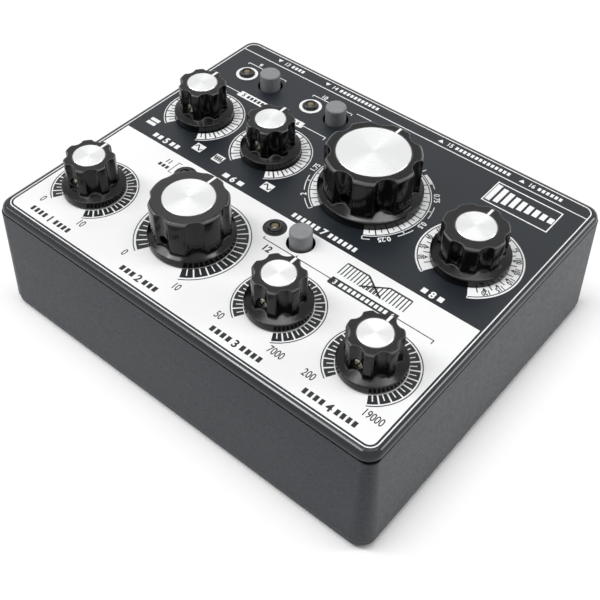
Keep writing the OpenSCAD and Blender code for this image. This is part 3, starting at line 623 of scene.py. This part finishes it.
# Band of blocks from one radius to another, end of the slits, angle of a block, thin line from one
# radius to another, gap between the blocks and width of the slits
Dial = namedtuple("Dial", "r0 r1 slit_r step line_r0 line_r1 gap slit")
SMALL_DIAL = Dial(10.0, 12.85, 11.95, 15, 13.3, 13.6, 0.45, 0.35)
VOLUME_DIAL = Dial(13.2, 16.6, 15.85, 15, 17.25, 17.55, 0.45, 0.35)
BEAT_DIAL = Dial(16.4, 18.5, 17.7, 12.5, 18.85, 19.15, 0.4, 0.3)


def half_angle(w, r):
    """Half the angle that a width takes up at a radius."""
    return math.degrees(math.asin(w / 2 / r))


def block(at, dial, start):
    """Block of a dial, with a slit in its middle."""
    middle, end = start + dial.step / 2, start + dial.step
    gap0, gap1 = half_angle(dial.gap, dial.r0), half_angle(dial.gap, dial.r1)
    slit0, slit1 = half_angle(dial.slit, dial.r0), half_angle(dial.slit, dial.slit_r)
    loop = arc(at, dial.r1, start + gap1, end - gap1)
    loop += arc(at, dial.r0, end - gap0, middle + slit0)
    loop += [polar(at, dial.slit_r, middle + slit1), polar(at, dial.slit_r, middle - slit1)]
    loop += arc(at, dial.r0, middle - slit0, start + gap0)
    return loop


def ring_of_blocks(name, dial):
    """Blocks and thin line over the control's whole sweep."""
    at = PLACE[name]
    ink = Print(MARK if name in ON_WHITE else FIELD)
    for i in range(round((SWEEP[1] - SWEEP[0]) / dial.step)):
        ink.loops(block(at, dial, SWEEP[0] + i * dial.step))
    ink.loops(sector(at, dial.line_r0, dial.line_r1, *SWEEP))
    return ink


def plain_dials():
    for name in ("feedback", "high_pass", "low_pass", "depth", "rate"):
        ring_of_blocks(name, SMALL_DIAL).done(name + "_dial", DARK if name in ON_WHITE else WHITE)
    ring_of_blocks("volume", VOLUME_DIAL).done("volume_dial", DARK)


BEAT_NUMBERS = ("0.25", "0.5", "0.75", "1", "1.25", "1.5", "1.75", "2")
# The number whose bracket is a solid bar
BEAT_SOLID = "1"
BEAT_GROUP = 37.5
BEAT_BRACKET, BEAT_BRACKET_W = (20.2, 20.5), 0.3
# Radii from the dial's thin line at which the bar and the brackets' ends begin
BEAT_BAR_GAP, BEAT_END_GAP = 0.6, 0.3
BEAT_NUMBER_R, BEAT_NUMBER_H, BEAT_NUMBER_BOLD = 20.6, 1.95, 0.025
# Half the angle left free for a number: a fixed part, and a part for each character
BEAT_ROOM, BEAT_ROOM_EACH = 3.2, 2.2


def beat_dial():
    """Blocks in groups of three, each with a bracket that a number interrupts."""
    at = PLACE["beat"]
    ink = ring_of_blocks("beat", BEAT_DIAL)
    r0, r1 = BEAT_BRACKET
    line = BEAT_DIAL.line_r0
    for i, number in enumerate(BEAT_NUMBERS):
        start = SWEEP[0] + i * BEAT_GROUP
        middle, end = start + BEAT_GROUP / 2, start + BEAT_GROUP
        room = BEAT_ROOM + BEAT_ROOM_EACH * len(number)
        inner = line + BEAT_BAR_GAP if number == BEAT_SOLID else r0
        ink.loops(sector(at, inner, r1, start, middle - room), sector(at, inner, r1, middle + room, end))
        ink.loops(spoke(at, line + BEAT_END_GAP, r1, start, BEAT_BRACKET_W))
        ink.number(number, polar(at, BEAT_NUMBER_R, middle), BEAT_NUMBER_H, middle - 90,
                   bold=BEAT_NUMBER_BOLD)
    ink.loops(spoke(at, line + BEAT_END_GAP, r1, SWEEP[1], BEAT_BRACKET_W))
    ink.done("beat_dial", WHITE)


TEMPO_BAND = (11.75, 15.1)
# Line round the band, and the bars that join them at the ends, with how far these reach into the band
TEMPO_LINE, TEMPO_END_W, TEMPO_END_OVERLAP = (15.45, 15.95), 0.35, 0.1
TEMPO_NUMBERS = range(50, 125, 5)
TEMPO_FIRST, TEMPO_STEP = 218.5, 18.39
TEMPO_NUMBER_R, TEMPO_NUMBER_H, TEMPO_NUMBER_WIDE = 14.1, 1.8, 0.75
# Triangles below the numbers: radius of the tip, radius of the base, half the angle of the base
TEMPO_TIP_R, TEMPO_BASE_R, TEMPO_BASE_HALF = 12.1, 13.15, 2.7
TEMPO_TICK_R, TEMPO_TICK_W = 13.6, 0.33


def tempo_dial():
    """White band with a number and a triangle at each step, and ticks between them."""
    at = PLACE["tempo"]
    band = Print(FIELD)
    band.loops(sector(at, *TEMPO_BAND, *SWEEP), sector(at, *TEMPO_LINE, *SWEEP))
    for angle in SWEEP:
        band.loops(spoke(at, TEMPO_BAND[1] - TEMPO_END_OVERLAP, TEMPO_LINE[1], angle, TEMPO_END_W))
    band.done("tempo_dial", WHITE)
    marks = Print(MARK)
    for i, number in enumerate(TEMPO_NUMBERS):
        angle = TEMPO_FIRST - i * TEMPO_STEP
        marks.number(str(number), polar(at, TEMPO_NUMBER_R, angle), TEMPO_NUMBER_H, angle - 90,
                     wide=TEMPO_NUMBER_WIDE)
        base = [polar(at, TEMPO_BASE_R, angle + side * TEMPO_BASE_HALF) for side in (-1, 1)]
        marks.loops([polar(at, TEMPO_TIP_R, angle)] + base)
    for i in range(len(TEMPO_NUMBERS) + 1):
        angle = TEMPO_FIRST - (i - 0.5) * TEMPO_STEP
        marks.loops(spoke(at, TEMPO_BAND[0], TEMPO_TICK_R, angle, TEMPO_TICK_W))
    marks.done("tempo_marks", DARK)


# Numbers at the ends of the front dials: distance to each side of the dial's middle, and the numbers
END_NUMBERS = {
    "feedback": (8.6, "0", "10"),
    "volume": (10.6, "0", "10"),
    "high_pass": (10.2, "50", "7000"),
    "low_pass": (10.6, "200", "19000"),
}
END_NUMBER_Y, END_NUMBER_H, END_NUMBER_WIDE, END_NUMBER_BOLD = -48.1, 2.6, 0.72, 0.008
# Whole width of each control's label, a number with a row of blocks to each side; numbered in this order
LABEL_WIDTHS = {
    "feedback": 16.5, "volume": 14.3, "high_pass": 18, "low_pass": 17.3,
    "depth": 11.1, "rate": 8.1, "beat": 24, "tempo": 7.2,
}
FRONT_LABEL_Y, REAR_LABEL_Y, LABEL_H = -52.8, -4.1, 2.7
LABEL_BLOCK_H, LABEL_ROOM = 1.9, 1.9


def end_numbers():
    ink = Print(MARK)
    for name, (offset, *numbers) in END_NUMBERS.items():
        for side, number in zip((-1, 1), numbers):
            at = (PLACE[name][0] + side * offset, END_NUMBER_Y)
            ink.number(number, at, END_NUMBER_H, wide=END_NUMBER_WIDE, bold=END_NUMBER_BOLD)
    ink.done("dial_end_numbers", DARK)


def labels():
    for i, (name, width) in enumerate(LABEL_WIDTHS.items()):
        dark = name in ON_WHITE
        x = PLACE[name][0]
        y = FRONT_LABEL_Y if dark else REAR_LABEL_Y
        ink = Print(MARK if dark else FIELD)
        ink.number(str(i + 1), (x, y), LABEL_H, wide=1.0)
        for side in (-1, 1):
            ink.loops(*row(x + side * LABEL_ROOM, x + side * width / 2, y, LABEL_BLOCK_H))
        ink.done(name + "_label", DARK if dark else WHITE)


# Signs

LINE_W = 0.3
SIGN_NUMBER_H, SIGN_NUMBER_BOLD, SIGN_BLOCK_H = 1.9, 0.02, 1.5


def bracket(ink, x0, x1, y, drop):
    """Line with turned ends."""
    ink.loops(stroke((x0, y), (x1, y), LINE_W))
    for x in (x0 + LINE_W / 2, x1 - LINE_W / 2):
        ink.loops(stroke((x, y - math.copysign(LINE_W / 2, drop)), (x, y - drop), LINE_W))


# Box behind a pair of controls, with a bracket to each side: the controls and their numbers, half the
# box's width, its front and rear edge, the distances from the middle between which a bracket runs, the
# brackets' y, and the numbers' distance from the middle and y
Pair = namedtuple("Pair", "controls numbers half front rear inner outer bracket_y reach number_y")
REAR_PAIR = Pair(("depth", "rate"), ("5", "6"), 13.9, 29.3, 32.2, 14, 23.8, 30.8, 12, 30.75)
FRONT_PAIR = Pair(("high_pass", "low_pass"), ("3", "4"), 11.6, -19.3, -16.4, 11.5, 24, -17.6, 9.8, -17.85)
# Length of the brackets' ends, and room that a number takes at the end of the row of blocks
PAIR_DROP, PAIR_ROOM = 1.4, 1.5


def pair_middle(pair):
    return sum(PLACE[name][0] for name in pair.controls) / 2


def pair_box(ink, pair):
    middle = pair_middle(pair)
    for start, end in ((-pair.outer, -pair.inner), (pair.inner, pair.outer)):
        bracket(ink, middle + start, middle + end, pair.bracket_y, PAIR_DROP)
    ink.loops(rectangle(middle - pair.half, pair.front, middle + pair.half, pair.rear))


def pair_numbers(name, level, pair, material):
    """Two numbers at the ends of the box, with a row of blocks between them."""
    middle = pair_middle(pair)
    ink = Print(level)
    for number, side in zip(pair.numbers, (-1, 1)):
        ink.number(number, (middle + side * pair.reach, pair.number_y), SIGN_NUMBER_H)
    end = pair.reach - PAIR_ROOM
    ink.loops(*row(middle - end, middle + end, pair.number_y, SIGN_BLOCK_H))
    ink.done(name, material)


# Brackets behind the rear buttons, and a line beside the second
REAR_BRACKETS = ((-61.9, -44.7), (-32.5, -15.6))
REAR_BRACKET_Y, REAR_BRACKET_DROP = 46.3, 0.9
STEP_LINE = ((-14.8, 47.6), (-8.7, 47.6))
# Numbers of the rear buttons: button, and distance to its left
BUTTON_NUMBERS = {"9": ("loop", 10.4), "10": ("step", 10)}
BUTTON_NUMBER_Y = 47.7
# Arrows above the rear sockets: number, x, in (-1) or out (1), and how far off the row of blocks ends
REAR_MARKS = (("13", -54.3, -1, 11), ("14", -32.7, -1, 22), ("15", 15, 1, 26), ("16", 45.6, 1, 14))
REAR_MARK_Y, ARROW_HALF_W, ARROW_HALF_H = 54.25, 1, 0.75
# Distances from an arrow to its number and to the row of blocks
ARROW_TO_NUMBER, ARROW_TO_ROW = 3.6, 5.6


def rear_marks(ink):
    for number, x, way, end in REAR_MARKS:
        foot, tip = REAR_MARK_Y - way * ARROW_HALF_H, REAR_MARK_Y + way * ARROW_HALF_H
        arrow = [(x - ARROW_HALF_W, foot), (x + ARROW_HALF_W, foot), (x, tip)]
        ink.loops(arrow[::way])
        ink.number(number, (x + ARROW_TO_NUMBER, REAR_MARK_Y), SIGN_NUMBER_H, bold=SIGN_NUMBER_BOLD)
        ink.loops(*row(x + ARROW_TO_ROW, x + end, REAR_MARK_Y, SIGN_BLOCK_H))


def signs_on_dark():
    """White brackets, box, numbers and arrows of the rear half."""
    ink = Print(FIELD)
    for x0, x1 in REAR_BRACKETS:
        bracket(ink, x0, x1, REAR_BRACKET_Y, REAR_BRACKET_DROP)
    ink.loops(stroke(*STEP_LINE, LINE_W))
    pair_box(ink, REAR_PAIR)
    for number, (button, offset) in BUTTON_NUMBERS.items():
        at = (PLACE[button][0] - offset, BUTTON_NUMBER_Y)
        ink.number(number, at, SIGN_NUMBER_H, bold=SIGN_NUMBER_BOLD)
    rear_marks(ink)
    ink.done("rear_signs", WHITE)
    pair_numbers("rear_group_numbers", MARK, REAR_PAIR, DARK)


# Bracket and number in front of the mute button
MUTE_BRACKET = (0.3, 13)
MUTE_BRACKET_Y, MUTE_BRACKET_DROP = -17.6, -0.9
MUTE_NUMBER_AT, MUTE_NUMBER_H = (4.4, -20.2), 2.6
# Upright bracket beside the clip lamp: its line, where its ends stop, and the width of both
CLIP_BRACKET_X, CLIP_BRACKET_END_X, CLIP_BRACKET_W = -42.1, -40.7, 0.25
CLIP_BRACKET_Y, CLIP_END_INSET = (-9.3, -14.6), 0.1
CLIP_NUMBER_AT = (-45.2, -10.8)
# Row of blocks in front of the number: from, to, y and height
CLIP_ROW = (-47.2, -43.2, -13.4, 1.4)


def clip_sign(ink):
    top, foot = CLIP_BRACKET_Y
    ink.loops(stroke((CLIP_BRACKET_X, top), (CLIP_BRACKET_X, foot), CLIP_BRACKET_W))
    start = CLIP_BRACKET_X + CLIP_END_INSET
    for y in (top - CLIP_END_INSET, foot + CLIP_END_INSET):
        ink.loops(stroke((start, y), (CLIP_BRACKET_END_X, y), CLIP_BRACKET_W))
    ink.number("11", CLIP_NUMBER_AT, SIGN_NUMBER_H)
    ink.loops(*row(*CLIP_ROW))


def signs_on_white():
    """Dark brackets, box and numbers of the front half."""
    ink = Print(MARK)
    bracket(ink, *MUTE_BRACKET, MUTE_BRACKET_Y, MUTE_BRACKET_DROP)
    pair_box(ink, FRONT_PAIR)
    ink.number("12", MUTE_NUMBER_AT, MUTE_NUMBER_H)
    clip_sign(ink)
    ink.done("front_signs", DARK)
    pair_numbers("front_group_numbers", OVER, FRONT_PAIR, WHITE)


# Wave tiles: place, half sizes, and the height and share of the width that a wave takes up
TILE_OFFSET, TILE_Y, TILE_HALF_W, TILE_HALF_H = 10.4, 0.25, 1.85, 1.7
WAVE_H, WAVE_SHARE = 1.15, 0.85
# Each tile's control, side, number of waves and width of its line
TILES = (("depth", -1, 0, 0.5), ("depth", 1, 1, 0.42), ("rate", -1, 4, 0.3), ("rate", 1, 1, 0.42))
# Points of one wave, as shares of its height
WAVE = (0, 1, 0, -1)


def wave_points(x, count):
    """Points of this many waves about the middle of a tile."""
    turns = len(WAVE) * count
    half = TILE_HALF_W * WAVE_SHARE
    return [(x + half * (2 * i / turns - 1), TILE_Y + WAVE_H * WAVE[i % len(WAVE)])
            for i in range(turns + 1)]


def wave_tiles():
    """White tiles at the ends of the two modulation dials: flat, slow and fast waves."""
    tiles = Print(FIELD)
    waves = Print(MARK)
    for name, side, count, w in TILES:
        x = PLACE[name][0] + side * TILE_OFFSET
        left, right = x - TILE_HALF_W, x + TILE_HALF_W
        tiles.loops(rectangle(left, TILE_Y - TILE_HALF_H, right, TILE_Y + TILE_HALF_H))
        points = wave_points(x, count) if count else [(left, TILE_Y), (right, TILE_Y)]
        for first, second in zip(points, points[1:]):
            waves.loops(stroke(first, second, w))
    tiles.done("wave_tiles", WHITE)
    waves.done("wave_lines", DARK)


# Filter sign: heights of the bands' tops and foot, half its width, and half the width of the slopes
FILTER_TOP, FILTER_FOOT, FILTER_HALF, FILTER_KNEE = -9.7, -14.7, 11.4, 3.7
FILTER_LINE_W, FILTER_HATCH_W, FILTER_HATCHES = 0.55, 0.36, 13


def band_height(x):
    """Height of a band's curve, at a distance from the middle towards the band's own side."""
    fall = max(0, FILTER_KNEE - x) / (2 * FILTER_KNEE)
    return FILTER_TOP + (FILTER_FOOT - FILTER_TOP) * fall


def filter_sign():
    """Two crossing pass bands with hatching below their curves."""
    middle = pair_middle(FRONT_PAIR)
    ink = Print(MARK)
    for side in (-1, 1):
        corners = [(middle + side * x, band_height(x)) for x in (FILTER_HALF, FILTER_KNEE, -FILTER_KNEE)]
        for first, second in zip(corners, corners[1:]):
            ink.loops(stroke(first, second, FILTER_LINE_W))
        for i in range(FILTER_HATCHES):
            x = FILTER_HALF - i * (FILTER_HALF + FILTER_KNEE) / FILTER_HATCHES
            ink.loops(stroke((middle + side * x, FILTER_FOOT), (middle + side * x, band_height(x)),
                             FILTER_HATCH_W))
    ink.done("filter_sign", DARK)


# Sign in the rear corner: its frame and line, and its bars, each of which keeps a share of the last
ECHO_X, ECHO_Y, ECHO_LINE_W = (40, 63.05), (38.7, 49.3), 0.4
ECHO_BARS, ECHO_BAR_W, ECHO_BAR_H, ECHO_FADE, ECHO_MARGIN = 9, 1.7, 8.4, 0.86, 1.5


def echo_sign():
    """Plain frame of bars that die away, where the panel's corner is free."""
    (x0, x1), (y0, y1), w = ECHO_X, ECHO_Y, ECHO_LINE_W
    ink = Print(FIELD)
    ink.holed(rectangle(x0, y0, x1, y1), rectangle(x0 + w, y0 + w, x1 - w, y1 - w))
    pitch = (x1 - x0 - 2 * ECHO_MARGIN) / (ECHO_BARS - 1)
    for i in range(ECHO_BARS):
        x = x0 + ECHO_MARGIN + i * pitch
        h = ECHO_BAR_H * ECHO_FADE ** i
        ink.loops(rectangle(x - ECHO_BAR_W / 2, (y0 + y1 - h) / 2, x + ECHO_BAR_W / 2, (y0 + y1 + h) / 2))
    ink.done("echo_sign", WHITE)


# Knob pointers: white bars that fill the grooves in the knobs' tops

POINTER_W, POINTER_DEPTH, POINTER_SINK, POINTER_GAP = 0.78, 0.25, 0.01, 0.03
# Length and drop of the bevel at the outer end
POINTER_BEVEL, POINTER_DROP = 0.3, 0.06
POINTER_L = dict.fromkeys(CONTROLS, 2.4)
POINTER_L.update(tempo=2.8, volume=3.4, beat=2.7)


def pointer(name):
    """Bar with a slightly bevelled outer end."""
    x, y = PLACE[name]
    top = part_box(name + "_knob")[1][2] / MM - POINTER_SINK
    foot = top - POINTER_DEPTH
    inlay_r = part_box(name + "_inlay")[1][1] / MM - y
    start, end = inlay_r + 2 * POINTER_GAP, inlay_r + POINTER_L[name] - POINTER_GAP
    bevel = [(end - POINTER_BEVEL, top), (end, top - POINTER_DROP)]
    profile = [(start, foot), (start, top)] + bevel + [(end, foot)]
    bm = bmesh.new()
    sides = []
    for side_x in (x - POINTER_W / 2, x + POINTER_W / 2):
        sides.append([bm.verts.new((side_x * MM, (y + r) * MM, z * MM)) for r, z in profile])
        bm.faces.new(sides[-1])
    for i in range(len(profile)):
        bm.faces.new((sides[0][i - 1], sides[0][i], sides[1][i], sides[1][i - 1]))
    piece(name + "_pointer", bm, WHITE, name + "_control")


# Stage

CAMERA_AT = (137.66, -169.92, 242.92)
CAMERA_TURN = (41.955, -0.729, 39.71)
CAMERA_SENSOR, CAMERA_NEAR = 36, 10
# Width of the photograph and focal length, in pixels
PHOTO_PIXELS, FOCAL_PIXELS = 600, 970.3


def camera():
    data = bpy.data.cameras.new("camera")
    data.sensor_width = CAMERA_SENSOR
    data.lens = CAMERA_SENSOR * FOCAL_PIXELS / PHOTO_PIXELS
    data.clip_start = CAMERA_NEAR * MM
    made = bpy.data.objects.new("camera", data)
    made.location = [c * MM for c in CAMERA_AT]
    made.rotation_euler = [math.radians(a) for a in CAMERA_TURN]
    bpy.context.scene.collection.objects.link(made)
    bpy.context.scene.camera = made


def seen(nodes):
    """1 on rays from the camera, and on those seen in gloss or through glass."""
    path = nodes.node("ShaderNodeLightPath").outputs
    camera_or_gloss = nodes.maths("MAXIMUM", path["Is Camera Ray"], path["Is Glossy Ray"])
    return nodes.maths("MAXIMUM", camera_or_gloss, path["Is Transmission Ray"])


# Light from the sky at the horizon and overhead; it grows between these upright parts of the direction
SKY_LOW, SKY_HIGH = 0.08, 0.36
SKY_FROM, SKY_TO = 0.2, 0.8


def world():
    """White to the eye and in reflections; as a light, bright overhead and dim at the horizon."""
    made = bpy.data.worlds.new("studio")
    made.use_nodes = True
    nodes = Nodes(made.node_tree)
    height = nodes.upright(nodes.coordinates("Generated"))
    sky = nodes.remap(height, SKY_LOW, SKY_HIGH, SKY_FROM, SKY_TO)
    shade = made.node_tree.nodes["Background"]
    nodes.feed(shade.inputs["Color"], grey(1))
    nodes.feed(shade.inputs["Strength"], nodes.remap(seen(nodes), sky, 1, 0, 1))
    bpy.context.scene.world = made


# Radius of the floor in metres, and the number of its sides
FLOOR_R, FLOOR_SIDES = 3, 96
# Tone of the floor as a light source for the object, and as the eye sees it
FLOOR_TONE, FLOOR_SEEN = 0.9, 1.08
# For the eye the shadow fades to this share of plain white within this distance of the case's foot
NEAR_WHITE, NEAR_REACH = 0.9, 12
# Distances in metres between which the lamps' reach ends and the floor turns plain white for the eye
FLOOR_FADE = (0.2, 1.2)


def plain_white(paint):
    """How far the floor has turned plain white at a point: 0 at the foot of the case, 1 far away."""
    outside = paint.vector("SUBTRACT", paint.vector("ABSOLUTE", paint.where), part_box("body")[1])
    beside = paint.vector("LENGTH", paint.vector("MAXIMUM", outside))
    near = paint.maths("SQRT", paint.remap(beside, 0, NEAR_WHITE ** 2, 0, NEAR_REACH * MM))
    far = paint.remap(paint.vector("LENGTH", paint.where), 0, 1, *FLOOR_FADE)
    return paint.maths("MAXIMUM", near, far)


def floor_paper(name):
    """Pale paper, taken to white for the eye alone; it keeps the shadow at the case's foot."""
    paint = Finish(name, grey(FLOOR_TONE), 0.8)
    paint.vary_roughness(40, 0.75, 0.9)
    eye, white = seen(paint), plain_white(paint)
    lit = paint.mix(white, grey(FLOOR_SEEN), grey(0))
    paint.set("Base Color", paint.mix(eye, grey(FLOOR_TONE), lit))
    paint.set("Emission Color", grey(1))
    paint.set("Emission Strength", paint.maths("MULTIPLY", white, eye))
    return paint.material


def floor():
    """Wide round sheet that the object stands on."""
    bm = bmesh.new()
    bmesh.ops.create_circle(bm, cap_ends=True, radius=FLOOR_R, segments=FLOOR_SIDES)
    mesh = bpy.data.meshes.new("floor")
    bm.to_mesh(mesh)
    bm.free()
    mesh.materials.append(floor_paper("floor_paper"))
    made = bpy.data.objects.new("floor", mesh)
    bpy.context.scene.collection.objects.link(made)


# Soft lamps: place, direction of the long side, length and width, all in metres, and power in watts
SOFTBOXES = {
    "front_softbox": ((-0.5, -0.37, 0.78), (0.966, 0.259, 0), (0.9, 0.2), 4.4),
    "rear_softbox": ((0.73, 0.615, 0.46), (-0.4, 0.88, -0.25), (0.45, 0.25), 2.35),
    "overhead_softbox": ((0.01, -0.01, 0.78), (0.78, 0.63, 0), (0.95, 0.09), 2.7),
}


def softbox(name, at, along, size, power):
    """Rectangular lamp that faces the object."""
    data = bpy.data.lights.new(name, "AREA")
    data.shape = "RECTANGLE"
    data.size, data.size_y = size
    data.energy = power
    made = bpy.data.objects.new(name, data)
    back = Vector(at).normalized()
    across = back.cross(Vector(along)).normalized()
    turn = Matrix((across.cross(back), across, back)).transposed()
    made.matrix_world = Matrix.Translation(at) @ turn.to_4x4()
    made.visible_camera = False
    bpy.context.scene.collection.objects.link(made)


dress()
border()
white_field()
plain_dials()
beat_dial()
tempo_dial()
end_numbers()
labels()
signs_on_dark()
wave_tiles()
signs_on_white()
filter_sign()
lamp_rings("rear_lamp_rings", FIELD, REAR_LAMPS, REAR_RING_R, WHITE)
lamp_rings("front_lamp_rings", MARK, (MUTE_LAMP, CLIP_LAMP), FRONT_RING_R, DARK)
echo_sign()
for control in CONTROLS:
    pointer(control)
camera()
world()
floor()
for lamp, settings in SOFTBOXES.items():
    softbox(lamp, *settings)
bpy.context.scene.view_settings.view_transform = "Standard"
